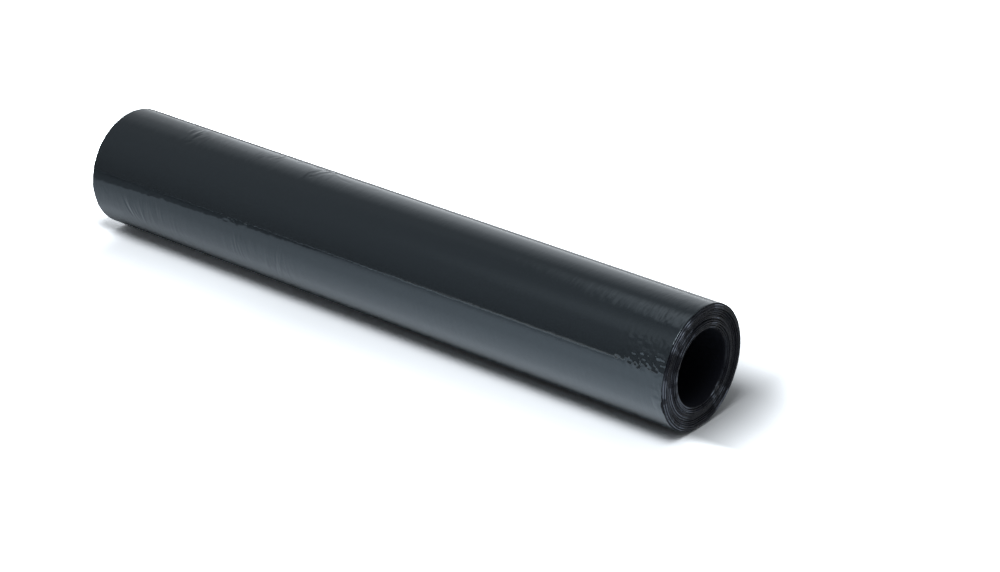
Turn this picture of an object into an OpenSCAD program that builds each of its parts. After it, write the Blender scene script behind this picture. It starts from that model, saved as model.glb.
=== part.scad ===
// Coreless roll of black stretch film, lying on its side.
// One web of film is wound on itself, so the whole roll is one solid.
// Its turns show at both ends as one spiral of film edges, parted by a narrow
// spiral gap, and its free end shows as a low step along the outside.
// The roll lies along X on the plane z = 0, with the origin under its middle.

/* [Roll] */
// Width of the film, which is the length of the roll
film_width = 500; // [100:10:1000]
// Diameter of the roll, measured over the film's free end
roll_d = 85; // [72:0.5:140]
// Diameter of the bore that the winding mandrel leaves
bore_d = 51; // [25:0.5:60]
// Width of the flat spot that the soft roll settles on
flat_w = 16; // [8:1:24]

/* [Turns] */
// Distance from one turn that shows to the next, as near as fits the wall
turn_pitch = 1.3; // [0.9:0.05:2.5]
// Width of the gap that shows between two turns at an end
turn_gap = 0.3; // [0.15:0.05:0.4]
// Depth of that gap below the most sunken turn
gap_depth = 1; // [0.4:0.1:3]
// How far the film's edge wanders to and fro along the roll
edge_wander = 1.6; // [0.2:0.1:4]
// Turns that the edge takes to wander out, back in and out again
wander_turns = 7.6; // [3:0.1:20]
// Least thickness of the first and the last turn
thin_turn = 0.45; // [0.2:0.05:0.8]

/* [Free end] */
// Height of the step at the film's free end
tail_step = 0.3; // [0.1:0.05:0.6]
// Angle of the free end round the roll, from the +Y side, upwards positive
tail_angle = -35; // [-50:5:40]

/* [Hidden] */
$fn = 96;

film_black = "#1d2023";
roll_r = roll_d / 2;
bore_r = bore_d / 2;

// The spirals' sizes are whole multiples of this, so their half turns meet
fine_step = 0.02;

// The outside is a spiral too, which rises by the free end's step in a turn
tail_rise = even(tail_step);
outer_r = fine(roll_r - tail_rise / 2);

// The wall holds a whole number of turns between its first and last ones
spiral_reach = outer_r + 3 / 4 * tail_rise;
wound_room = spiral_reach - bore_r - turn_gap - 2 * thin_turn;
turns = max(1, round(wound_room / turn_pitch) - 1);
pitch = even(wound_room / (turns + 1));
first_r = fine(bore_r + thin_turn + turn_gap + pitch / 4);

// The gap's floor, where the tightly wound turns end
tight_length = film_width - edge_wander - 2 * gap_depth;

// The flat spot sets how high the axis stands above the ground
axis_z = sqrt(roll_r ^ 2 - (flat_w / 2) ^ 2);
lowest = drop(outer_r, tail_rise);
firm_r = (bore_r + roll_r) / 2;

// Nearest multiple of the fine step, and nearest one that halves into others
function fine(x) = round(x / fine_step) * fine_step;
function even(x) = 2 * fine(x / 2);

// Inner radius of a turn where the spiral starts it
function turn_r(k) = first_r + k * pitch;

// Shift of a turn along the roll: the film's width stays, so an edge that
// stands out at one end is sunk at the other
function edge_shift(k) = fine(edge_wander / 2 * sin(360 / wander_turns * k));

// Distance from the axis down to a spiral outline of this radius and rise
function drop(r, rise) = r + rise / 2 - rise / 4 * sin(tail_angle);

// How much an outline that reaches this far down is flattened. Each turn sags
// less than the one round it, and the firm turns near the bore not at all:
// there the value is negative, and the cutting line passes below the outline.
function sag(down) = (lowest - axis_z) * (down - firm_r) / (lowest - firm_r);

// Half of a disc, on the side where y is positive
module half_disc(r) {
    intersection() {
        circle(r);
        translate([-2 * r, 0]) square(4 * r);
    }
}

// Disc inside one turn of a spiral that rises by a given amount in the turn.
// The turn is two half circles about centres half that rise apart, so they
// meet without a kink on one side and with the step on the other. The step is
// drawn on the first axis, where one turn meets the next one exactly.
module spiral_disc(r, rise) {
    translate([-rise / 4, 0]) half_disc(r);
    translate([rise / 4, 0]) mirror([0, 1]) half_disc(r + rise / 2);
}

// The same disc, flattened underneath as the soft roll settles. The ground is
// turned here, because the finished roll is turned to its free end's angle.
module settled_disc(r, rise) {
    down = drop(r, rise);
    intersection() {
        spiral_disc(r, rise);
        rotate(-tail_angle)
            translate([-2 * down, sag(down) - down]) square(4 * down);
    }
}

// Outline of the whole roll, with the free end's step and the flat spot
module roll_outline() {
    settled_disc(outer_r, tail_rise);
}

// Stretches a section out along the roll's axis, about the middle of its length
module along_roll(length, shift = 0) {
    translate([shift - length / 2, 0, 0])
        rotate([90, 0, 90])
            linear_extrude(length) children();
}

// The tightly wound turns, which fill the gaps between the ones that show
module tight_turns() {
    along_roll(tight_length)
        difference() {
            roll_outline();
            circle(bore_r);
        }
}

// The first turn, from the bore to the first gap
module first_turn() {
    along_roll(film_width, edge_shift(-1))
        difference() {
            settled_disc(turn_r(0) - turn_gap, pitch);
            circle(bore_r);
        }
}

// One full turn of film between two gaps
module turn(k) {
    along_roll(film_width, edge_shift(k))
        difference() {
            settled_disc(turn_r(k + 1) - turn_gap, pitch);
            settled_disc(turn_r(k), pitch);
        }
}

// The last turn, from the last gap to the outside
module last_turn() {
    along_roll(film_width, edge_shift(turns))
        difference() {
            roll_outline();
            settled_disc(turn_r(turns), pitch);
        }
}

module film_roll() {
    color(film_black)
        translate([0, 0, axis_z])
            rotate([tail_angle, 0, 0]) {
                tight_turns();
                first_turn();
                for (k = [0 : turns - 1]) turn(k);
                last_turn();
            }
}

film_roll();
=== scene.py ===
import math

import bpy
import numpy as np
from bpy.props import FloatProperty, FloatVectorProperty, PointerProperty
from mathutils import Euler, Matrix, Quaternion, Vector


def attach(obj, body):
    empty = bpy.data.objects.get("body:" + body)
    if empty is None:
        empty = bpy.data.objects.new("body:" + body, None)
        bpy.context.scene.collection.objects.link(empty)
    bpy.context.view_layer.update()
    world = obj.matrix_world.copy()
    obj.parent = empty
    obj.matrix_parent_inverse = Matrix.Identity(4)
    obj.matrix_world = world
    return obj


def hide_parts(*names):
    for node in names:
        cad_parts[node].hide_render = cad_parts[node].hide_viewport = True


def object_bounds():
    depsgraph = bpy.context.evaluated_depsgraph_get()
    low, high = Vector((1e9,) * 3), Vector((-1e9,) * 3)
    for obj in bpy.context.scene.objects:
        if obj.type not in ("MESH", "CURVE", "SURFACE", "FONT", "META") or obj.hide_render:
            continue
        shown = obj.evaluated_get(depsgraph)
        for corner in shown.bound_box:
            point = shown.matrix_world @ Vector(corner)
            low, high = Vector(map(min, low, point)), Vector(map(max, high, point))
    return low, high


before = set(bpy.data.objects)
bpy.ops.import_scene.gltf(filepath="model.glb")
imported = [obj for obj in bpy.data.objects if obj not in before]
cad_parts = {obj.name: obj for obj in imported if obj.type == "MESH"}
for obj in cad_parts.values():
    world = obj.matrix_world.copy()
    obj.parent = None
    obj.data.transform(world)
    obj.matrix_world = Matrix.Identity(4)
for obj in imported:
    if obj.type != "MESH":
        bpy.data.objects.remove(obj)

bl_info = {
    "name": "Black Stretch Film Roll",
    "version": (1, 0, 0),
    "blender": (4, 5, 0),
    "location": "3D View > Sidebar > Film Roll",
    "description": "A coreless roll of black stretch film: its wound ends, its wrinkled skin and a studio",
    "category": "Object",
}

CAD_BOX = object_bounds()
CAD_NODE = "film_roll"
BODY = "root"
MM = 0.001
TURN = 2 * math.pi

# Cells after which the noise repeats along the roll
NOISE_LENGTH = 997

# How far the mean skin lies below the solid's outline, and the wound turns below the skin's inside,
# in millimetres
SKIN_DEPTH = 0.08
HIDDEN_GAP = 0.12


# Sizes and colours a user would change


class FilmRollSizes(bpy.types.PropertyGroup):
    """Sizes of the roll, which are those of its CAD solid"""

    film_width: FloatProperty(
        name="Film width",
        description="Width of the film, which is the length of the roll",
        default=0.500,
        unit="LENGTH",
    )
    roll_diameter: FloatProperty(
        name="Roll diameter",
        description="Diameter of the roll, measured over the film's free end",
        default=0.085,
        unit="LENGTH",
    )
    bore_diameter: FloatProperty(
        name="Bore diameter",
        description="Diameter of the bore that the winding mandrel leaves",
        default=0.051,
        unit="LENGTH",
    )
    axis_height: FloatProperty(
        name="Axis height",
        description="Height of the roll's axis above the ground, which the flat spot sets",
        default=0.0417403,
        unit="LENGTH",
    )
    tail_step: FloatProperty(
        name="Step at the free end",
        description="Height of the step at the film's free end",
        default=0.00032,
        unit="LENGTH",
    )
    tail_angle: FloatProperty(
        name="Angle of the free end",
        description="Place of the free end round the roll, from the +Y side, upwards positive",
        default=math.radians(-35),
        subtype="ANGLE",
    )
    turn_pitch: FloatProperty(
        name="Turn pitch",
        description="Distance from one turn that shows to the next",
        default=0.00132,
        unit="LENGTH",
    )
    first_turn: FloatProperty(
        name="First turn",
        description="Inner radius of the first turn after the one round the bore",
        default=0.02658,
        unit="LENGTH",
    )
    edge_wander: FloatProperty(
        name="Edge wander",
        description="How far the film's edge wanders to and fro along the roll",
        default=0.0016,
        unit="LENGTH",
    )
    wander_turns: FloatProperty(
        name="Wander turns",
        description="Turns that the edge takes to wander out, back in and out again",
        default=7.6,
    )
    skin_thickness: FloatProperty(
        name="Outer turn thickness",
        description="Thickness of the film turns that make the wrinkled skin",
        default=0.00036,
        unit="LENGTH",
    )


class FilmRollLooks(bpy.types.PropertyGroup):
    """Colours and finish of the film"""

    film_colour: FloatVectorProperty(
        name="Film colour",
        description="Colour of the black film's smooth side",
        default=(0.0105, 0.0135, 0.0160),
        subtype="COLOR",
        size=3,
    )
    edge_colour: FloatVectorProperty(
        name="Edge colour",
        description="Colour of the film's cut edges at the two ends",
        default=(0.0042, 0.0046, 0.0070),
        subtype="COLOR",
        size=3,
    )
    # Painted glints: the colour of layers in a few sectors at the ends, lighter where the light would
    # glint on them
    painted_glint_colour: FloatVectorProperty(
        name="Lit edge colour",
        description="Colour of the layers at the two ends that catch the light",
        default=(0.135, 0.150, 0.180),
        subtype="COLOR",
        size=3,
    )
    film_roughness: FloatProperty(
        name="Film roughness",
        description="Roughness of the film's smooth side",
        default=0.055,
        subtype="FACTOR",
    )
    edge_roughness: FloatProperty(
        name="Edge roughness",
        description="Roughness of the cut edges",
        default=0.34,
        subtype="FACTOR",
    )


class FilmRollStudio(bpy.types.PropertyGroup):
    """Camera, floor and light of the studio"""

    camera_place: FloatVectorProperty(
        name="Camera place",
        description="Where the camera stands",
        default=(1.1492, -1.3087, 0.8697),
        subtype="XYZ",
        unit="LENGTH",
        size=3,
    )
    camera_turn: FloatVectorProperty(
        name="Camera turn",
        description="How the camera is turned",
        default=(math.radians(64.022), 0.0, math.radians(39.041)),
        subtype="EULER",
        size=3,
    )
    lens: FloatProperty(
        name="Lens",
        description="Focal length of the camera in millimetres, for a sensor 36 mm wide",
        default=103.23,
    )
    paper_seen: FloatProperty(
        name="Paper seen",
        description="Colour of the white paper as the camera sees it beside the roll",
        default=1.12,
    )
    paper_mirrored: FloatProperty(
        name="Paper mirrored",
        description="Colour of the white paper as the film mirrors it",
        default=1.35,
    )
    paper_plain: FloatProperty(
        name="Paper colour",
        description="Colour of the white paper for the light that it throws back",
        default=0.90,
    )
    key_brightness: FloatProperty(
        name="Key brightness",
        description="Brightness of the key softbox, where 1 is white",
        default=14.5,
    )


def sizes():
    """The roll's sizes as the scene holds them."""
    return bpy.context.scene.film_roll_sizes


def looks():
    """The film's colours and finish as the scene holds them."""
    return bpy.context.scene.film_roll_looks


def studio():
    """The studio's values as the scene holds them."""
    return bpy.context.scene.film_roll_studio


# Shapes worked out as whole arrays


def ease(x, start, end):
    """Smooth ramp from 0 at start to 1 at end: 3 t^2 - 2 t^3 of the clipped share t."""
    t = np.clip((x - start) / (end - start), 0.0, 1.0)
    return t * t * (3.0 - 2.0 * t)


def bell(x, middle, width):
    """Bell curve of height 1: e to the power of minus the square of x's distance from the middle over
    the width."""
    return np.exp(-(((x - middle) / width) ** 2))


def soft_noise(u, v, across, seed):
    """Smooth noise from -1 to 1 over unit cells: random levels at the cells' corners, joined by
    cubic ramps both ways. It repeats in u after the given number of cells."""
    levels = np.random.default_rng(seed).uniform(-1.0, 1.0, (across, NOISE_LENGTH))
    u, v = np.broadcast_arrays(u, v)
    u0 = np.floor(u).astype(int)
    v0 = np.floor(v).astype(int)
    fu = ease(u - u0, 0.0, 1.0)
    fv = ease(v - v0, 0.0, 1.0)
    u1 = (u0 + 1) % across
    v1 = (v0 + 1) % NOISE_LENGTH
    u0 = u0 % across
    v0 = v0 % NOISE_LENGTH
    near = levels[u0, v0] * (1.0 - fu) + levels[u1, v0] * fu
    far = levels[u0, v1] * (1.0 - fu) + levels[u1, v1] * fu
    return near * (1.0 - fv) + far * fv


def spiral_radius(turn, radius, rise):
    """Radius of a line that winds outwards by rise in one turn, at a share of a turn after the free
    end: two half circles, about centres half of rise apart, so they meet without a kink."""
    around = TURN * turn
    quarter = rise / 4.0
    first = np.sqrt(radius**2 - (quarter * np.sin(around)) ** 2) - quarter * np.cos(around)
    wider = radius + rise / 2.0
    second = np.sqrt(wider**2 - (quarter * np.sin(around)) ** 2) + quarter * np.cos(around)
    return np.where(turn < 0.5, first, second)


def outline_radius(turn):
    """Radius of the roll's outline before it settles, at a share of a turn after the free end."""
    s = sizes()
    inner = s.roll_diameter / 2.0 - s.tail_step / 2.0
    return spiral_radius(turn, inner, s.tail_step)


def settle(radius, angle, floor_gap=0.0):
    """Flat spot of a soft roll: a radius that would pass below the ground is cut off at the ground,
    or a little above it. The radius of the ground line is its depth over the sine of the angle."""
    depth = sizes().axis_height - floor_gap
    down = np.maximum(-np.sin(angle), 1e-6)
    return np.minimum(radius, depth / down)


def placed(x, angle, radius):
    """Points at a distance along the roll, an angle and a radius about the roll's axis."""
    y = radius * np.cos(angle)
    z = radius * np.sin(angle) + sizes().axis_height
    x, y, z = np.broadcast_arrays(x, y, z)
    return np.stack((x, y, z), axis=-1)


def closed_both_ways(name, points, material):
    """Object whose faces join a grid of points that closes on itself both ways, as on a ring.
    Each face's corners are taken so that it points outwards."""
    around, along = points.shape[:2]
    here = np.arange(around * along).reshape(around, along)
    on = np.roll(here, -1, axis=0)
    faces = np.stack((here, on, np.roll(on, -1, axis=1), np.roll(here, -1, axis=1)), axis=-1)
    mesh = bpy.data.meshes.new(name)
    mesh.from_pydata(points.reshape(-1, 3).tolist(), [], faces.reshape(-1, 4).tolist())
    mesh.polygons.foreach_set("use_smooth", np.ones(around * along, dtype=bool))
    mesh.materials.append(material)
    mesh.validate()
    mesh.update()
    piece = bpy.data.objects.new(name, mesh)
    bpy.context.scene.collection.objects.link(piece)
    return piece


def spaced(stops, steps):
    """Sorted places from the first stop to the last, with even steps between each pair of stops."""
    spans = zip(stops, stops[1:], steps)
    parts = [np.linspace(start, end, count, endpoint=False) for start, end, count in spans]
    return np.concatenate(parts + [np.array([stops[-1]])])


# The wrinkled outer turn


def ripple(along, arc, place, middle, slant, length, width, height):
    """One ripple in the film: a ridge that runs round the roll, turned by a slant. Across it is a
    bell curve of its width, and along it the height fades as (1 - t^2)^2 to its two tips."""
    across = (along - place) * math.cos(slant) - (arc - middle) * math.sin(slant)
    lengthwise = (along - place) * math.sin(slant) + (arc - middle) * math.cos(slant)
    t = np.clip(np.abs(lengthwise) / (length / 2.0), 0.0, 1.0)
    return height * bell(across, 0.0, width) * (1.0 - t * t) ** 2


# Width of a crease in millimetres
CREASE_WIDTH = 0.80

# Creases that show best, each from one place to another, in millimetres along the roll and degrees
# round it, with its height in millimetres. A negative height is a furrow.
CREASES = (
    (-201, 86, -196, 73, 0.16),
    (-191, 96, -192, 80, 0.22),
    (-188, 98, -188, 78, -0.20),
    (-184, 100, -186, 76, 0.24),
    (-182, 103, -181, 84, -0.22),
    (-178, 99, -176, 84, 0.18),
    (-185, 111, -180, 103, -0.16),
    (-118, 91, -118, 80, 0.16),
    (-115, 91, -115, 78, -0.20),
    (-112, 88, -111, 74, 0.20),
    (-96, 81, -96, 69, -0.18),
    (-78, 92, -78, 81, 0.20),
    (-75, 93, -75, 79, -0.22),
    (-72, 90, -70, 69, 0.26),
    (-69, 86, -67, 72, -0.22),
    (-74, 99, -72, 93, -0.18),
    (-66, 76, -54, 82, 0.16),
    (-56, 84, -43, 86, -0.14),
    (-25, 86, -22, 80, -0.12),
    (-218, 128, -211, 148, 0.06),
    (-199, 139, -195, 152, 0.06),
    (-184, 152, -180, 172, 0.07),
    (-180, 122, -175, 134, 0.05),
    (-79, 120, -71, 136, -0.07),
    (-220, 181, -214, 202, -0.20),
    (-217, 180, -211, 202, 0.18),
    (-214, 181, -208, 200, -0.20),
    (-210, 182, -205, 204, 0.14),
    (-247, 186, -249, 207, 0.12),
    (-241, 176, -235, 186, -0.10),
    (-188, 174, -187, 196, -0.10),
    (-183, 176, -183, 200, 0.12),
    (-114, 182, -114, 202, 0.12),
    (-110, 183, -108, 200, -0.13),
    (-70, 166, -78, 218, -0.16),
    (-66, 168, -74, 214, 0.12),
)


def creases(along, arc, mean_radius):
    """Sum of the creases, each a ripple between its two ends, a little longer than their distance
    because its height fades towards the tips."""
    total = np.zeros(np.broadcast(along, arc).shape)
    for start, start_angle, end, end_angle, height in CREASES:
        run = math.radians(end_angle - start_angle) * mean_radius
        middle = math.radians(start_angle + end_angle) / 2.0 * mean_radius
        slant = math.atan2(end - start, run) if run > 0.0 else math.atan2(start - end, -run)
        length = 1.25 * math.hypot(end - start, run)
        total += ripple(along, arc, (start + end) / 2.0, middle, slant, length, CREASE_WIDTH, height)
    return total


# Bunches of fainter ripples: place along the roll, angle round it, number of ripples, spread along
# the roll, slant, length and height, in millimetres and degrees
BUNCHES = (
    (-186.0, 90.0, 9, 28.0, 8.0, 22.0, 0.090),
    (-116.0, 82.0, 7, 24.0, 2.0, 18.0, 0.080),
    (-72.0, 86.0, 9, 26.0, 8.0, 22.0, 0.090),
    (-20.0, 88.0, 4, 40.0, 12.0, 16.0, 0.030),
    (60.0, 86.0, 4, 60.0, 10.0, 16.0, 0.022),
    (-212.0, 192.0, 7, 24.0, 24.0, 28.0, 0.085),
    (-192.0, 188.0, 8, 26.0, 4.0, 34.0, 0.070),
    (-168.0, 200.0, 4, 14.0, 0.0, 36.0, 0.055),
    (-114.0, 190.0, 8, 26.0, 4.0, 30.0, 0.075),
    (-76.0, 196.0, 6, 22.0, -6.0, 34.0, 0.055),
)


def bunched_ripples(along, arc, mean_radius):
    """Sum of the ripples in all bunches. Within a bunch each one has its own place, length, slant,
    width and height about the bunch's values, drawn in a fixed order."""
    draw = np.random.default_rng(41)
    total = np.zeros(np.broadcast(along, arc).shape)
    for place, angle, count, spread, slant, length, height in BUNCHES:
        middle = math.radians(angle) * mean_radius
        for _ in range(count):
            one = draw.uniform(-1.0, 1.0, 6)
            total += ripple(
                along,
                arc,
                place + spread / 2.0 * one[0],
                middle + 5.0 * one[1],
                math.radians(slant + 9.0 * one[2]),
                length * (1.0 + 0.35 * one[3]),
                0.85 + 0.30 * one[4],
                height * (1.0 + 0.5 * one[5]),
            )
    return total


def scattered_ripples(along, arc, mean_radius, count=110):
    """Fainter ripples all over the roll, each at a random place, drawn in a fixed order. They are
    lower beyond the middle. One that crosses the start of a turn goes on at its other end."""
    draw = np.random.default_rng(7)
    total = np.zeros(np.broadcast(along, arc).shape)
    turn = TURN * mean_radius
    for _ in range(count):
        one = draw.uniform(0.0, 1.0, 6)
        place = -246.0 + 492.0 * one[0]
        middle = turn * one[1]
        slant = math.radians(70.0 * (one[2] - 0.5) * one[2])
        height = (0.010 + 0.026 * one[4] ** 2) * (0.35 + 0.65 * float(ease(-place, -20.0, 60.0)))
        length = 16.0 + 30.0 * one[3]
        width = 0.8 + 0.9 * one[5]
        for lap in (-turn, 0.0, turn):
            total += ripple(along, arc, place, middle + lap, slant, length, width, height)
    return total


# Strips of the skin that are disturbed, each with its middle and its width as shares of a turn from
# the +Y side: loose film on the upper front and under the back, the rough lines where the walls'
# and the paper's reflections begin, and the curled rim below the loose front
LOOSE_FRONT = (0.424, 0.034)
LOOSE_BACK = (0.80, 0.06)
WALL_LINE = (0.333, 0.035)
PAPER_LINE = (0.463, 0.012)
CURLED_RIM = (0.510, 0.040)

# Stretches where the paper's line is roughest: middle and width along the roll in millimetres
ROUGH_STRETCHES = ((-196.0, 14.0), (-117.0, 16.0))


def grain(share, along, *layers):
    """Sum of layers of noise over the skin, each with a height in millimetres, a number of cells round
    the roll, the length of a cell along it in millimetres, and a seed."""
    return sum(
        height * soft_noise(share * cells, along / length, cells, seed)
        for height, cells, length, seed in layers
    )


def skin_relief(along, angle):
    """Height of the skin's wrinkles in millimetres, as a sum: slow waves of the turns underneath, short
    dents in patches and fainter beyond the middle, a crinkled band that grows towards each end, a
    crumpled patch that stands proud on the upper front of the near end with a curled rim below it,
    rough lines along two strips, and the creases and ripples."""
    mean_radius = sizes().roll_diameter / 2.0 / MM
    arc = (angle % TURN) * mean_radius
    share = (angle % TURN) / TURN
    waves = grain(share, along, (0.030, 5, 70.0, 3), (0.012, 9, 19.0, 4))
    dents = grain(share, along, (0.034, 27, 5.0, 5), (0.030, 44, 2.6, 6), (0.012, 70, 1.6, 10))
    patchy = 0.30 + 0.70 * ease(grain(share, along, (1.0, 6, 45.0, 11)), -0.5, 0.6)
    patchy = patchy * (0.30 + 0.70 * ease(-along, -10.0, 70.0))

    near_end = ease(along, 214.0, 244.0)
    far_end = 0.4 * ease(-along, 236.0, 249.0)
    front = bell(share, *LOOSE_FRONT)
    loose = 0.10 + 0.90 * np.clip(front + 0.8 * bell(share, *LOOSE_BACK), 0.0, 1.0)
    crinkle = grain(share, along, (0.120, 36, 3.0, 8), (0.060, 56, 1.7, 9))
    total = waves + patchy * dents + (near_end + far_end) * loose * crinkle

    crumpled = grain(share, along, (0.34, 88, 3.4, 12), (0.32, 170, 1.7, 13))
    total += ease(along, 202.0, 234.0) * front * (crumpled + 0.20)
    curled = ease(along, 240.0, 248.0) * bell(share, *CURLED_RIM)
    total += 0.40 * curled * (grain(share, along, (1.0, 130, 2.2, 16)) + 0.3)

    rough = np.clip(sum(bell(along, *stretch) for stretch in ROUGH_STRETCHES), 0.0, 1.0)
    rough = (0.25 + 0.75 * rough) * bell(share, *PAPER_LINE)
    total += rough * grain(share, along, (0.060, 150, 2.4, 15))
    rough = ease(along, 110.0, 230.0) * bell(share, *WALL_LINE)
    total += rough * grain(share, along, (0.045, 84, 2.4, 14))

    total += creases(along, arc, mean_radius)
    total += bunched_ripples(along, arc, mean_radius)
    total += scattered_ripples(along, arc, mean_radius)
    return total


# Lines of the outer turn's grid, closest where the wrinkles are finest: places along the roll between
# its rims in millimetres, places round it as shares of a turn after the free end, and the number of
# steps from each place to the next. The first and last steps along lie between the rims and these.
ALONG_PLACES = (-222.0, -160.0, -131.0, -95.0, -84.0, -52.0, 150.0, 212.0)
ALONG_STEPS = (12, 10, 88, 22, 48, 10, 44, 106, 42, 62)
TURN_PLACES = (0.0, 0.0006, 0.004, 0.26, 0.43, 0.47, 0.57, 0.70, 0.996, 0.9994, 1.0)
TURN_STEPS = (2, 2, 24, 50, 10, 46, 44, 28, 2, 2)

# The rims of the outer turn in millimetres: where their rounding starts before the end, the stretch
# over which they wander, and the lines of the inside, each a distance before the end
RIM_START = 0.4
FAR_RIM_STRETCH = 14.0
RIM_STRETCH = 12.0
INSIDE_LINES = (RIM_START, 12.0, 90.0)

# Rounded section of a rim: how far it stands out past its start in millimetres, and how deep that is
# as a share of the outer turn's thickness
RIM_SECTION = ((0.24, 0.10), (0.38, 0.32), (0.40, 0.62), (0.26, 0.90))


def outer_turn_points():
    """Grid of points of the outer turn, as turn shares by places on its section. The section runs
    along the outside, round the near rim, back along the inside and round the far rim."""
    s = sizes()
    half = s.film_width / 2.0 / MM
    rim = half - RIM_START
    along = spaced((-rim, -half + FAR_RIM_STRETCH, *ALONG_PLACES, rim), ALONG_STEPS)
    turn = spaced(TURN_PLACES, TURN_STEPS)
    cut_edge = 0.012 * soft_noise(0.0, along / 55.0, 3, 21)
    cut_edge = cut_edge + 0.004 * soft_noise(0.0, along / 9.0, 3, 22)
    angle = s.tail_angle + TURN * turn[:, None] + cut_edge[None, :]
    relief = skin_relief(along[None, :], angle)
    free_end = 0.10 * ease(turn, 0.985, 1.0)[:, None] * soft_noise(0.0, along[None, :] / 24.0, 3, 23)
    radius = outline_radius(turn)[:, None] + (relief + free_end - SKIN_DEPTH) * MM
    outside = settle(radius, angle)

    # The rims wander along the roll and have small nicks, deeper on the near one's front
    rim_turn = s.tail_angle + TURN * turn
    near_edge = edge_level(12.0 + turn, 31) + rim_nicks(turn, 33, 1.8)
    far_edge = edge_level(12.0 + turn, 32) + rim_nicks(turn, 34, 0.0)
    shift = near_edge[:, None] * ease(along, half - RIM_STRETCH, half)[None, :]
    shift = shift + far_edge[:, None] * ease(-along, half - RIM_STRETCH, half)[None, :]
    skin = placed((along[None, :] + shift) * MM, angle, outside)

    thick = s.skin_thickness
    under = outline_radius(turn) - SKIN_DEPTH * MM - thick
    parts = [skin]
    for side, edge, last in ((1.0, near_edge, -1), (-1.0, far_edge, 0)):
        rim_angle = angle[:, last]
        section = []
        for out, deep in RIM_SECTION:
            rim_radius = settle(outside[:, last] - thick * deep, rim_angle, thick * deep)
            section.append(placed((side * (rim + out) + edge) * MM, rim_angle, rim_radius))
        inside = settle(under, rim_turn, thick + 0.1 * MM)
        for back in INSIDE_LINES:
            wander = edge if back == RIM_START else 0.0
            section.append(placed((side * (half - back) + wander) * MM, rim_turn, inside))
        block = np.stack(section, axis=1)
        parts.append(block if side > 0 else block[:, ::-1])
    return np.concatenate(parts, axis=1)


# The wound turns and their edges


def edge_level(wound, seed):
    """How far the film's edge stands out along the roll, in millimetres, after a number of turns
    wound from the first one: a slow sine to and fro, and smaller wander of the web."""
    s = sizes()
    wander = s.edge_wander / 2.0 / MM
    slow = wander * np.sin(TURN * wound / s.wander_turns)
    small = 0.26 * soft_noise(0.0, wound * 2.7 + 40.0, 5, seed)
    small = small + 0.14 * soft_noise(0.0, wound * 9.0 + 70.0, 5, seed + 50)
    return slow * 0.8 + small * 0.75


# Strip of the outermost edge that is nicked most: its middle and width as shares of a turn
NICKED_FRONT = (0.505, 0.055)


def rim_nicks(turn, seed, front_depth):
    """Small nicks in the outermost edge: only the inward part of quick noise round the roll, deeper
    on the front by a given share."""
    rough = 0.55 * soft_noise(turn * 46, 0.5, 46, seed)
    rough = rough + 0.35 * soft_noise(turn * 110, 0.5, 110, seed + 7)
    angle_share = (sizes().tail_angle / TURN + turn) % 1.0
    deeper = 1.0 + front_depth * bell(angle_share, *NICKED_FRONT)
    return -np.maximum(rough, 0.0) ** 1.5 * 0.9 * deeper


def end_relief(radial, turn, seed):
    """Shape of one end in millimetres along the roll, over the round radius in millimetres and the
    share of a turn: each turn's edge at its own level with a rounded crest, the gap after it of a
    depth and a width that vary along the winding, and thin film layers on the crests."""
    s = sizes()
    pitch = s.turn_pitch / MM
    first = s.first_turn / MM - pitch / 4.0
    phase = (radial - first) / pitch - turn
    whole = np.floor(phase)
    part = phase - whole
    wound = whole + turn
    level = edge_level(wound, seed)

    open_gap = 0.5 + 0.5 * soft_noise(0.0, wound * 3.3 + 11.0, 3, seed + 3)
    gap_share = 0.16 + 0.22 * open_gap
    gap_depth = 0.25 + 1.15 * open_gap
    crest = np.clip(part / (1.0 - gap_share), 0.0, 1.0) * 2.0 - 1.0
    rounded = -0.30 * np.abs(crest) ** 3
    in_gap = np.clip((part - (1.0 - gap_share)) / gap_share, 0.0, 1.0)
    groove = -gap_depth * np.sin(math.pi * in_gap) ** 0.8
    lean = 0.22 * crest * soft_noise(0.0, wound * 4.1 + 23.0, 3, seed + 4)

    layers = 0.075 * soft_noise(radial / 0.27, turn * 22 + whole * 3.7, 60, seed + 5)
    layers = layers + 0.05 * soft_noise(radial / 0.5, turn * 60 + whole * 5.1, 60, seed + 6)
    return level + rounded + groove + lean + layers


# Steps round the wound turns and over each end, and how far from each end the bore's wall starts, in
# millimetres
END_TURN_STEPS = 288
END_STEPS = 146
WALL_START = 2.0


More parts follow.
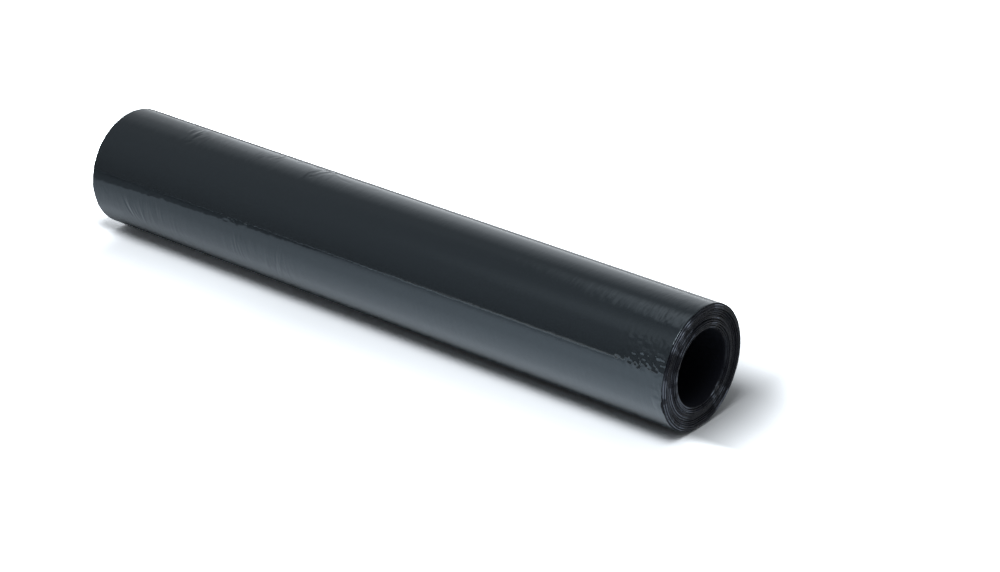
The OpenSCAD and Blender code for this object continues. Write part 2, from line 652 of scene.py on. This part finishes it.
def wound_turns_points():
    """Grid of points of the wound turns, as turn shares by places on their section. The section runs
    over the near end from the outside to the bore, along the bore, over the far end from the bore
    to the outside, and back under the outer turn."""
    s = sizes()
    half = s.film_width / 2.0 / MM
    bore = s.bore_diameter / 2.0 / MM
    turn = np.linspace(0.0, 1.0, END_TURN_STEPS, endpoint=False)
    angle = s.tail_angle + TURN * turn
    clearance = SKIN_DEPTH + s.skin_thickness / MM + HIDDEN_GAP
    reach = outline_radius(turn) / MM - clearance
    flat = settle(outline_radius(turn), angle) / MM - clearance

    share = np.concatenate(((0.0, 0.004), np.linspace(0.01, 0.985, END_STEPS), (0.993, 1.0)))
    round_radius = bore + (reach - bore)[:, None] * (1.0 - share)[None, :]
    settled = bore + (flat - bore)[:, None] * (1.0 - share)[None, :]
    bore_lip = -0.45 * ease(share, 0.975, 1.0)[None, :] ** 2
    near = half + end_relief(round_radius, turn[:, None], 61) + bore_lip
    far = -half - end_relief(round_radius, turn[:, None], 81) - bore_lip
    near_end = placed(near * MM, angle[:, None], settled * MM)
    far_end = placed(far * MM, angle[:, None], settled * MM)

    start = half - WALL_START
    wall = spaced((start, half - 30.0, -half + 30.0, -start), (8, 12, 8))
    pucker = 0.5 + 0.5 * soft_noise(turn[:, None] * 11, wall[None, :] / 40.0, 11, 90)
    bore_wall = placed(wall[None, :] * MM, angle[:, None], (bore + 0.12 * pucker) * MM)

    back = np.array((-start, 0.0, start))
    hidden = placed(back[None, :] * MM, angle[:, None], flat[:, None] * MM)
    return np.concatenate((near_end, bore_wall, far_end[:, ::-1], hidden), axis=1)


# Materials


# Height of the finest relief of the film, which is left to bump, in metres
BUMP_HEIGHT = 0.0001


class Nodes:
    """Short calls that add nodes to one node tree and join them."""

    def __init__(self, tree):
        """Takes a node tree and empties it."""
        self.tree = tree
        tree.nodes.clear()

    def add(self, kind, values=None, **settings):
        """A new node with its settings, and with values on its inputs by name."""
        node = self.tree.nodes.new(kind)
        for name, value in settings.items():
            setattr(node, name, value)
        for name, value in (values or {}).items():
            node.inputs[name].default_value = value
        return node

    def join(self, output, target):
        """A link from an output to an input."""
        self.tree.links.new(output, target)

    def maths(self, operation, first, second=None, clamp=False):
        """Math node on two inputs, each a socket or a number."""
        node = self.add("ShaderNodeMath", operation=operation, use_clamp=clamp)
        for slot, value in enumerate((first, second)):
            if value is None:
                continue
            if isinstance(value, (int, float)):
                node.inputs[slot].default_value = value
            else:
                self.join(value, node.inputs[slot])
        return node.outputs[0]

    def ramp(self, value, low, high, to_low=0.0, to_high=1.0):
        """Map Range node with a smooth step."""
        node = self.add("ShaderNodeMapRange", interpolation_type="SMOOTHSTEP")
        node.inputs["From Min"].default_value = low
        node.inputs["From Max"].default_value = high
        node.inputs["To Min"].default_value = to_low
        node.inputs["To Max"].default_value = to_high
        self.join(value, node.inputs["Value"])
        return node.outputs["Result"]

    def axes(self, source):
        """The X, Y and Z of a vector."""
        node = self.add("ShaderNodeSeparateXYZ")
        self.join(source, node.inputs["Vector"])
        return node.outputs

    def times_steps(self, value, axes, steps):
        """The value times one smooth step for each entry of an axis, two places on it and the factor at
        each place."""
        for axis, low, high, at_low, at_high in steps:
            value = self.maths("MULTIPLY", value, self.ramp(axes[axis], low, high, at_low, at_high))
        return value


def new_material(name):
    """An empty material with its node calls."""
    material = bpy.data.materials.new(name)
    material.use_nodes = True
    return material, Nodes(material.node_tree)


def stretched_noise(n, source, scale, detail):
    """Noise on Object coordinates scaled apart by axis, so that its grain is long round the roll."""
    mapping = n.add("ShaderNodeMapping", {"Scale": scale})
    n.join(source, mapping.inputs["Vector"])
    noise = n.add("ShaderNodeTexNoise", {"Scale": 1.0, "Detail": detail})
    n.join(mapping.outputs["Vector"], noise.inputs["Vector"])
    return noise.outputs["Fac"]


def film_skin_material():
    """Glossy black film. Fine ripples run round the roll as noise of a short grain along it, quiet
    over most of its length and rough near the ends, and the gloss has faint cloudy patches."""
    look = looks()
    material, n = new_material("Black film skin")
    place = n.add("ShaderNodeTexCoord").outputs["Object"]
    along = n.axes(place)["X"]

    fine = stretched_noise(n, place, (620.0, 170.0, 170.0), 2.0)
    coarse = stretched_noise(n, place, (330.0, 90.0, 90.0), 2.0)
    patches = stretched_noise(n, place, (16.0, 22.0, 22.0), 1.0)
    near = n.ramp(along, 0.205, 0.249, 0.0, 0.5)
    far = n.ramp(along, -0.249, -0.225, 0.5, 0.0)
    ends = n.maths("ADD", near, far)
    quiet = n.ramp(patches, 0.35, 0.65, 0.15, 0.40)
    amount = n.maths("ADD", quiet, ends)
    height = n.maths("ADD", fine, n.maths("MULTIPLY", coarse, 1.6))
    height = n.maths("MULTIPLY", height, amount)
    bump = n.add("ShaderNodeBump", {"Strength": 1.0, "Distance": BUMP_HEIGHT})
    n.join(height, bump.inputs["Height"])

    haze = stretched_noise(n, place, (60.0, 40.0, 40.0), 3.0)
    roughness = n.ramp(haze, 0.3, 0.75, look.film_roughness * 0.7, look.film_roughness * 1.7)
    shader = n.add("ShaderNodeBsdfPrincipled", {"IOR": 1.53})
    shader.inputs["Base Color"].default_value = (*look.film_colour, 1.0)
    shader.inputs["Specular Tint"].default_value = (0.82, 0.93, 1.0, 1.0)
    n.join(roughness, shader.inputs["Roughness"])
    n.join(bump.outputs["Normal"], shader.inputs["Normal"])
    output = n.add("ShaderNodeOutputMaterial")
    n.join(shader.outputs["BSDF"], output.inputs["Surface"])
    return material


# Places round the ends where a lighter colour paints glints on the layers of film: angle, and the cosine
# of the half width
PAINTED_GLINT_SECTORS = ((127.0, 0.945), (206.0, 0.70), (306.0, 0.975), (66.0, 0.988))

# How much of the painted glints shows outside those sectors, and how dull the wall of the bore is
PAINTED_GLINT_ELSEWHERE = 0.08
BORE_ROUGHNESS = 0.85


def film_edge_material():
    """Cut edges of the film: duller than its side, with fine layers that follow the radius, broken up
    along the winding by noise. In a few sectors some layers get a lighter colour: painted glints where the
    light would catch them. The bore is dull."""
    look = looks()
    material, n = new_material("Black film edges")
    place = n.add("ShaderNodeTexCoord").outputs["Object"]
    to_axis = {"Location": (0.0, 0.0, -sizes().axis_height), "Scale": (0.0, 1.0, 1.0)}
    centred = n.add("ShaderNodeMapping", to_axis)
    n.join(place, centred.inputs["Vector"])
    length = n.add("ShaderNodeVectorMath", operation="LENGTH")
    n.join(centred.outputs["Vector"], length.inputs[0])
    layers = n.add("ShaderNodeTexNoise", {"Scale": 4200.0, "Detail": 3.0}, noise_dimensions="1D")
    n.join(length.outputs["Value"], layers.inputs["W"])
    breaks = stretched_noise(n, place, (200.0, 130.0, 130.0), 3.0)
    height = n.maths("MULTIPLY", layers.outputs["Fac"], n.ramp(breaks, 0.3, 0.7, 0.2, 1.0))
    bump = n.add("ShaderNodeBump", {"Strength": 1.0, "Distance": BUMP_HEIGHT})
    n.join(height, bump.inputs["Height"])
    roughness = n.ramp(breaks, 0.3, 0.7, look.edge_roughness * 0.7, look.edge_roughness * 1.5)
    bore = sizes().bore_diameter / 2.0
    in_bore = n.ramp(length.outputs["Value"], bore + 0.2 * MM, bore + 0.8 * MM, BORE_ROUGHNESS, 0.0)
    roughness = n.maths("MAXIMUM", roughness, in_bore)

    unit = n.add("ShaderNodeVectorMath", operation="NORMALIZE")
    n.join(centred.outputs["Vector"], unit.inputs[0])
    sectors = None
    for angle, reach in PAINTED_GLINT_SECTORS:
        angle = math.radians(angle)
        towards = n.add("ShaderNodeVectorMath", operation="DOT_PRODUCT")
        n.join(unit.outputs["Vector"], towards.inputs[0])
        towards.inputs[1].default_value = (0.0, math.cos(angle), math.sin(angle))
        sector = n.ramp(towards.outputs["Value"], reach, (1.0 + reach) / 2.0)
        sectors = sector if sectors is None else n.maths("MAXIMUM", sectors, sector)
    # Painted glints: thin lighter lines along the winding, strongest in the sectors above
    lines = n.add("ShaderNodeTexNoise", {"Scale": 1300.0, "Detail": 2.0}, noise_dimensions="1D")
    n.join(length.outputs["Value"], lines.inputs["W"])
    painted_glints = n.ramp(lines.outputs["Fac"], 0.50, 0.62)
    painted_glints = n.maths("MULTIPLY", painted_glints, n.ramp(breaks, 0.38, 0.56, 0.15, 1.0))
    sectors = n.maths("ADD", n.maths("MULTIPLY", sectors, 1.0 - PAINTED_GLINT_ELSEWHERE), PAINTED_GLINT_ELSEWHERE)
    painted_glints = n.maths("MULTIPLY", painted_glints, sectors)
    colour = n.add("ShaderNodeMix", data_type="RGBA")
    n.join(painted_glints, colour.inputs["Factor"])
    colour.inputs["A"].default_value = (*look.edge_colour, 1.0)
    colour.inputs["B"].default_value = (*look.painted_glint_colour, 1.0)
    shader = n.add("ShaderNodeBsdfPrincipled", {"IOR": 1.5})
    n.join(colour.outputs["Result"], shader.inputs["Base Color"])
    shader.inputs["Specular IOR Level"].default_value = 0.08
    n.join(roughness, shader.inputs["Roughness"])
    n.join(bump.outputs["Normal"], shader.inputs["Normal"])
    output = n.add("ShaderNodeOutputMaterial")
    n.join(shader.outputs["BSDF"], output.inputs["Surface"])
    return material


# How bright the camera sees the paper, as smooth steps that multiply its colour: an axis, two places
# on it and the factor at each. They lift it past both ends, beside the far part and behind the roll:
# painted light that washes out the roll's shadow there.
PAINTED_LIGHT_STEPS = (
    ("X", -0.264, -0.226, 1.7, 1.0),
    ("X", -0.17, -0.03, 1.12, 1.0),
    ("X", 0.246, 0.300, 1.0, 2.3),
    ("Y", 0.02, 0.10, 1.0, 1.45),
)

# Painted reflection: how bright the film mirrors the paper, lighter close in front of the roll, darker
# under it as a painted shadow, and brightest far behind it
PAINTED_REFLECTION_STEPS = (
    ("Y", -0.13, -0.06, 1.0, 1.18),
    ("Y", -0.046, -0.030, 1.0, 0.62),
    ("Y", 0.5, 3.0, 1.0, 7.0),
)

# Left edge of the bright paper in the painted reflection: its X beside the roll, the distance in front of
# the roll at which it starts to bend outwards, how far and how fast it bends, and the brightness past it
PAPER_LEFT = -0.362
PAPER_BEND_FROM = 0.29
PAPER_BEND = 0.588
PAPER_BEND_POWER = 1.22
OFF_PAPER = 0.36


def paper_distance(n, axes):
    """Distance of a point of the floor from the rectangle that the roll covers."""
    low, high = CAD_BOX
    beyond = n.add("ShaderNodeCombineXYZ")
    for axis, middle, half in (
        ("X", (low[0] + high[0]) / 2.0, (high[0] - low[0]) / 2.0),
        ("Y", (low[1] + high[1]) / 2.0, (high[1] - low[1]) / 2.0),
    ):
        off = n.maths("ABSOLUTE", n.maths("SUBTRACT", axes[axis], middle))
        n.join(n.maths("MAXIMUM", n.maths("SUBTRACT", off, half), 0.0), beyond.inputs[axis])
    length = n.add("ShaderNodeVectorMath", operation="LENGTH")
    n.join(beyond.outputs["Vector"], length.inputs[0])
    return length.outputs["Value"]


def paper_seen(n, axes):
    """How bright the camera sees the paper: darker close to the roll and brighter with the distance from
    it, painted shade round the roll, and in a strip under the roll and close behind it a painted contact
    shadow, darker towards the near end and lighter towards the far one."""
    seen = studio().paper_seen
    away = paper_distance(n, axes)
    # Painted shade round the roll: the paper is darker close to it and brighter with the distance
    shown = n.maths(
        "MULTIPLY",
        n.ramp(away, 0.0, 0.11, seen, 1.8 * seen),
        n.ramp(away, 0.10, 1.1, 1.0, 2.5),
    )
    shown = n.times_steps(shown, axes, PAINTED_LIGHT_STEPS)
    # Painted contact shadow: a strip under the roll and close behind it, darker towards the near end and
    # lighter towards the far one
    contact_shade_mask = n.ramp(axes["Y"], -0.024, -0.008)
    contact_shade_mask = n.maths("MULTIPLY", contact_shade_mask, n.ramp(axes["Y"], 0.05, 0.20, 1.0, 0.0))
    deeper = n.maths("MULTIPLY", contact_shade_mask, n.ramp(axes["X"], -0.24, 0.16, -0.60, 0.62))
    return n.maths("MULTIPLY", shown, n.maths("SUBTRACT", 1.0, deeper))


def paper_mirrored(n, axes):
    """Painted reflection: how bright the film mirrors the paper, bright up to a left edge that bends
    outwards as a power of the distance in front of the roll, brighter towards the right, and brighter
    again far in front."""
    mirrored = studio().paper_mirrored
    in_front = n.maths("SUBTRACT", n.maths("MULTIPLY", axes["Y"], -1.0), PAPER_BEND_FROM)
    bend = n.maths("POWER", n.maths("MAXIMUM", in_front, 0.0), PAPER_BEND_POWER)
    bend = n.maths("MULTIPLY", bend, PAPER_BEND)
    across = n.maths("ADD", n.maths("SUBTRACT", axes["X"], PAPER_LEFT), bend)
    bright = n.maths("MAXIMUM", n.ramp(across, -0.02, 0.02), n.ramp(axes["Y"], -0.20, -0.10))
    lifted = n.ramp(axes["Y"], -3.2, -0.55, 5.5, 1.0)
    bright = n.maths("MULTIPLY", bright, n.maths("SUBTRACT", lifted, OFF_PAPER))
    off_paper = n.ramp(axes["Y"], -4.5, -1.0, 3.6 * OFF_PAPER, OFF_PAPER)
    bright = n.maths("ADD", bright, off_paper)
    painted_reflection = n.ramp(axes["X"], -0.40, 0.45, 0.74 * mirrored, 1.18 * mirrored)
    painted_reflection = n.maths("MULTIPLY", painted_reflection, bright)
    return n.times_steps(painted_reflection, axes, PAINTED_REFLECTION_STEPS)


def paper_material():
    """White paper floor. The camera and reflections see it brighter than the light that it throws
    back, so it shows white and keeps the roll's shadow, with painted shade and light by place. In front it
    is painted a little blue for reflections only."""
    material, n = new_material("White paper")
    axes = n.axes(n.add("ShaderNodeTexCoord").outputs["Object"])
    path = n.add("ShaderNodeLightPath").outputs
    mirrored = n.maths("MAXIMUM", path["Is Glossy Ray"], path["Is Transmission Ray"])
    value = n.maths("MULTIPLY", path["Is Camera Ray"], paper_seen(n, axes))
    value = n.maths("ADD", value, n.maths("MULTIPLY", mirrored, paper_mirrored(n, axes)))
    other = n.maths("SUBTRACT", 1.0, n.maths("ADD", path["Is Camera Ray"], mirrored), clamp=True)
    value = n.maths("ADD", value, n.maths("MULTIPLY", other, studio().paper_plain))
    # Painted reflection tint: a little blue where the film mirrors the paper in front of the roll
    reflection_tint = n.maths("MULTIPLY", mirrored, n.ramp(axes["Y"], -0.02, 0.02, 0.05, 0.0))
    colour = n.add("ShaderNodeCombineColor")
    n.join(n.maths("MULTIPLY", value, n.maths("SUBTRACT", 1.0, reflection_tint)), colour.inputs["Red"])
    n.join(value, colour.inputs["Green"])
    n.join(n.maths("MULTIPLY", value, n.maths("ADD", 1.0, reflection_tint)), colour.inputs["Blue"])
    shader = n.add("ShaderNodeBsdfDiffuse")
    n.join(colour.outputs["Color"], shader.inputs["Color"])
    output = n.add("ShaderNodeOutputMaterial")
    n.join(shader.outputs["BSDF"], output.inputs["Surface"])
    return material


# Brightness of the studio's walls by height of the direction, behind the roll and in front of it
WALLS_BEHIND = (
    (0.0, 1.45),
    (0.10, 1.25),
    (0.20, 1.06),
    (0.30, 1.02),
    (0.40, 0.92),
    (0.50, 0.67),
    (0.60, 0.50),
    (0.70, 0.29),
    (0.78, 0.34),
    (0.90, 0.16),
)
WALLS_IN_FRONT = ((0.0, 0.22), (0.15, 0.25), (0.4, 0.32), (0.65, 0.37), (0.84, 0.35), (0.90, 0.15))

# Share of the front walls' brightness that lights the scene, apart from reflections
FRONT_LIGHT = 0.4


def wall_ramp(n, height, stops):
    """Colour ramp over the height of the direction."""
    node = n.add("ShaderNodeValToRGB")
    ramp = node.color_ramp
    while len(ramp.elements) < len(stops):
        ramp.elements.new(0.5)
    for element, (position, value) in zip(ramp.elements, stops):
        element.position = position
        element.color = (value * 0.95, value, value * 1.05, 1.0)
    n.join(height, node.inputs["Fac"])
    return node.outputs["Color"]


def scaled(n, colour, factor):
    """A colour times a factor."""
    node = n.add("ShaderNodeVectorMath", operation="SCALE")
    n.join(colour, node.inputs[0])
    n.join(factor, node.inputs["Scale"])
    return node.outputs["Vector"]


def studio_walls():
    """World light by the direction: bright walls behind the roll, dimmer on the left except up high,
    dim ones in front with a bright strip low down, and white where the camera sees it."""
    world = bpy.data.worlds.new("Studio walls")
    world.use_nodes = True
    bpy.context.scene.world = world
    n = Nodes(world.node_tree)
    axes = n.axes(n.add("ShaderNodeTexCoord").outputs["Generated"])
    path = n.add("ShaderNodeLightPath").outputs

    on_left = n.ramp(axes["X"], -0.662, -0.642, 1.0, 0.0)
    loss = n.ramp(axes["Z"], 0.42, 0.76, 0.36, -0.10)
    kept = n.maths("SUBTRACT", 1.0, n.maths("MULTIPLY", on_left, loss))
    behind = scaled(n, wall_ramp(n, axes["Z"], WALLS_BEHIND), kept)

    strip = n.ramp(axes["X"], -0.602, -0.560, 0.0, 1.25)
    strip = n.maths("MULTIPLY", strip, n.ramp(axes["Z"], 0.008, 0.036, 1.0, 0.0))
    with_strip = n.add("ShaderNodeVectorMath", operation="ADD")
    n.join(wall_ramp(n, axes["Z"], WALLS_IN_FRONT), with_strip.inputs[0])
    n.join(strip, with_strip.inputs[1])
    share = n.ramp(path["Is Glossy Ray"], 0.0, 1.0, FRONT_LIGHT, 1.0)
    front = scaled(n, with_strip.outputs["Vector"], share)

    walls = n.add("ShaderNodeMix", data_type="RGBA")
    n.join(n.ramp(axes["Y"], -0.3, 0.3), walls.inputs["Factor"])
    n.join(front, walls.inputs["A"])
    n.join(behind, walls.inputs["B"])
    shown = n.add("ShaderNodeMix", data_type="RGBA")
    n.join(path["Is Camera Ray"], shown.inputs["Factor"])
    n.join(walls.outputs["Result"], shown.inputs["A"])
    shown.inputs["B"].default_value = (1.0, 1.0, 1.0, 1.0)
    background = n.add("ShaderNodeBackground")
    n.join(shown.outputs["Result"], background.inputs["Color"])
    output = n.add("ShaderNodeOutputWorld")
    n.join(background.outputs["Background"], output.inputs["Surface"])


# Operators


def dress(piece):
    """The piece rides on the roll's body and stands for its solid, which is hidden."""
    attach(piece, BODY)
    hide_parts(CAD_NODE)


class FILMROLL_OT_wound_turns(bpy.types.Operator):
    """Makes the wound turns with their film edges at both ends and the bore"""

    bl_idname = "film_roll.wound_turns"
    bl_label = "Wound turns"

    def execute(self, context):
        dress(closed_both_ways("wound_turns", wound_turns_points(), film_edge_material()))
        return {"FINISHED"}


class FILMROLL_OT_outer_turn(bpy.types.Operator):
    """Makes the wrinkled outer turn with the film's free end"""

    bl_idname = "film_roll.outer_turn"
    bl_label = "Outer turn"

    def execute(self, context):
        dress(closed_both_ways("outer_turn", outer_turn_points(), film_skin_material()))
        return {"FINISHED"}


def fade_in(lamp, edges):
    """Light that fades in from the lamp's left, right, low and high edges, each over its own share of
    the lamp: the product of four smooth steps."""
    lamp.use_nodes = True
    n = Nodes(lamp.node_tree)
    axes = n.axes(n.add("ShaderNodeNewGeometry").outputs["Parametric"])
    left, right, low, high = edges
    across = n.maths("MULTIPLY", n.ramp(axes["X"], 0.0, left), n.ramp(axes["X"], 1.0, 1.0 - right))
    up = n.maths("MULTIPLY", n.ramp(axes["Y"], 0.0, low), n.ramp(axes["Y"], 1.0, 1.0 - high))
    glow = n.add("ShaderNodeEmission")
    n.join(n.maths("MULTIPLY", across, up), glow.inputs["Strength"])
    output = n.add("ShaderNodeOutputLight")
    n.join(glow.outputs["Emission"], output.inputs["Surface"])


def softbox(name, place, target, turn, size, brightness, edges=None):
    """Rectangular lamp that faces a point, turned about its own axis by some degrees. A flat lamp is as
    bright as its power over pi times its area."""
    lamp = bpy.data.lights.new(name, "AREA")
    lamp.shape = "RECTANGLE"
    lamp.size = size[0]
    lamp.size_y = size[1]
    lamp.energy = brightness * math.pi * size[0] * size[1]
    lamp.color = (0.95, 1.0, 1.05)
    if edges:
        fade_in(lamp, edges)
    box = bpy.data.objects.new(name, lamp)
    box.location = place
    facing = (Vector(target) - Vector(place)).to_track_quat("-Z", "Y")
    spin = Quaternion((0.0, 0.0, 1.0), math.radians(turn))
    box.rotation_euler = (facing @ spin).to_euler()
    box.visible_camera = False
    bpy.context.scene.collection.objects.link(box)


# Half the width of the paper floor, and how far it lies below the roll, in metres
FLOOR_REACH = 7.0
FLOOR_GAP = 0.0002


def paper_floor():
    """Square of white paper under the roll."""
    mesh = bpy.data.meshes.new("paper_floor")
    corners = [
        (x * FLOOR_REACH, y * FLOOR_REACH, -FLOOR_GAP) for x, y in ((-1, -1), (1, -1), (1, 1), (-1, 1))
    ]
    mesh.from_pydata(corners, [], [(0, 1, 2, 3)])
    mesh.materials.append(paper_material())
    floor = bpy.data.objects.new("paper_floor", mesh)
    bpy.context.scene.collection.objects.link(floor)
    return floor


class FILMROLL_OT_studio(bpy.types.Operator):
    """Makes the camera, the white paper floor, the walls' light and the three lamps"""

    bl_idname = "film_roll.studio"
    bl_label = "Studio"

    def execute(self, context):
        look = studio()
        scene = context.scene
        scene.view_settings.view_transform = "Standard"

        camera_data = bpy.data.cameras.new("Camera")
        camera_data.sensor_width = 36.0
        camera_data.lens = look.lens
        camera = bpy.data.objects.new("Camera", camera_data)
        camera.location = look.camera_place
        camera.rotation_euler = Euler(look.camera_turn, "XYZ")
        scene.collection.objects.link(camera)
        scene.camera = camera

        floor = paper_floor()
        studio_walls()

        softbox(
            "Overhead panel",
            place=(-0.42, 0.36, 1.5),
            target=(-0.42, 0.36, 0.0),
            turn=15.0,
            size=(0.90, 1.10),
            brightness=0.95,
            edges=(0.30, 0.2, 0.10, 0.5),
        )
        softbox(
            "Front panel",
            place=(-0.62, -1.10, 1.5),
            target=(-0.62, -1.10, 0.0),
            turn=0.0,
            size=(1.40, 1.60),
            brightness=0.34,
            edges=(0.5, 0.2, 0.5, 0.4),
        )
        softbox(
            "Key softbox",
            place=(0.30, -0.45, 1.07),
            target=(0.0, 0.0, 0.0),
            turn=0.0,
            size=(0.51, 0.48),
            brightness=look.key_brightness,
        )
        return {"FINISHED"}


class FILMROLL_PT_panel(bpy.types.Panel):
    """Lists the roll's operators and values in the sidebar"""

    bl_idname = "FILMROLL_PT_panel"
    bl_label = "Film Roll"
    bl_space_type = "VIEW_3D"
    bl_region_type = "UI"
    bl_category = "Film Roll"

    def draw(self, context):
        layout = self.layout
        for operator in OPERATORS:
            layout.operator(operator.bl_idname)
        for group in (sizes(), looks(), studio()):
            box = layout.box()
            for name in group.bl_rna.properties.keys():
                if name not in ("rna_type", "name"):
                    box.prop(group, name)


OPERATORS = (FILMROLL_OT_wound_turns, FILMROLL_OT_outer_turn, FILMROLL_OT_studio)
CLASSES = (FilmRollSizes, FilmRollLooks, FilmRollStudio, *OPERATORS, FILMROLL_PT_panel)


def register():
    """Adds the classes, and their values to the scene."""
    for one in CLASSES:
        bpy.utils.register_class(one)
    bpy.types.Scene.film_roll_sizes = PointerProperty(type=FilmRollSizes)
    bpy.types.Scene.film_roll_looks = PointerProperty(type=FilmRollLooks)
    bpy.types.Scene.film_roll_studio = PointerProperty(type=FilmRollStudio)


def unregister():
    """Takes the values and the classes away again."""
    del bpy.types.Scene.film_roll_studio
    del bpy.types.Scene.film_roll_looks
    del bpy.types.Scene.film_roll_sizes
    for one in reversed(CLASSES):
        bpy.utils.unregister_class(one)


def main():
    """Makes the studio and the roll."""
    register()
    bpy.ops.film_roll.studio()
    bpy.ops.film_roll.wound_turns()
    bpy.ops.film_roll.outer_turn()


if __name__ == "__main__":
    main()
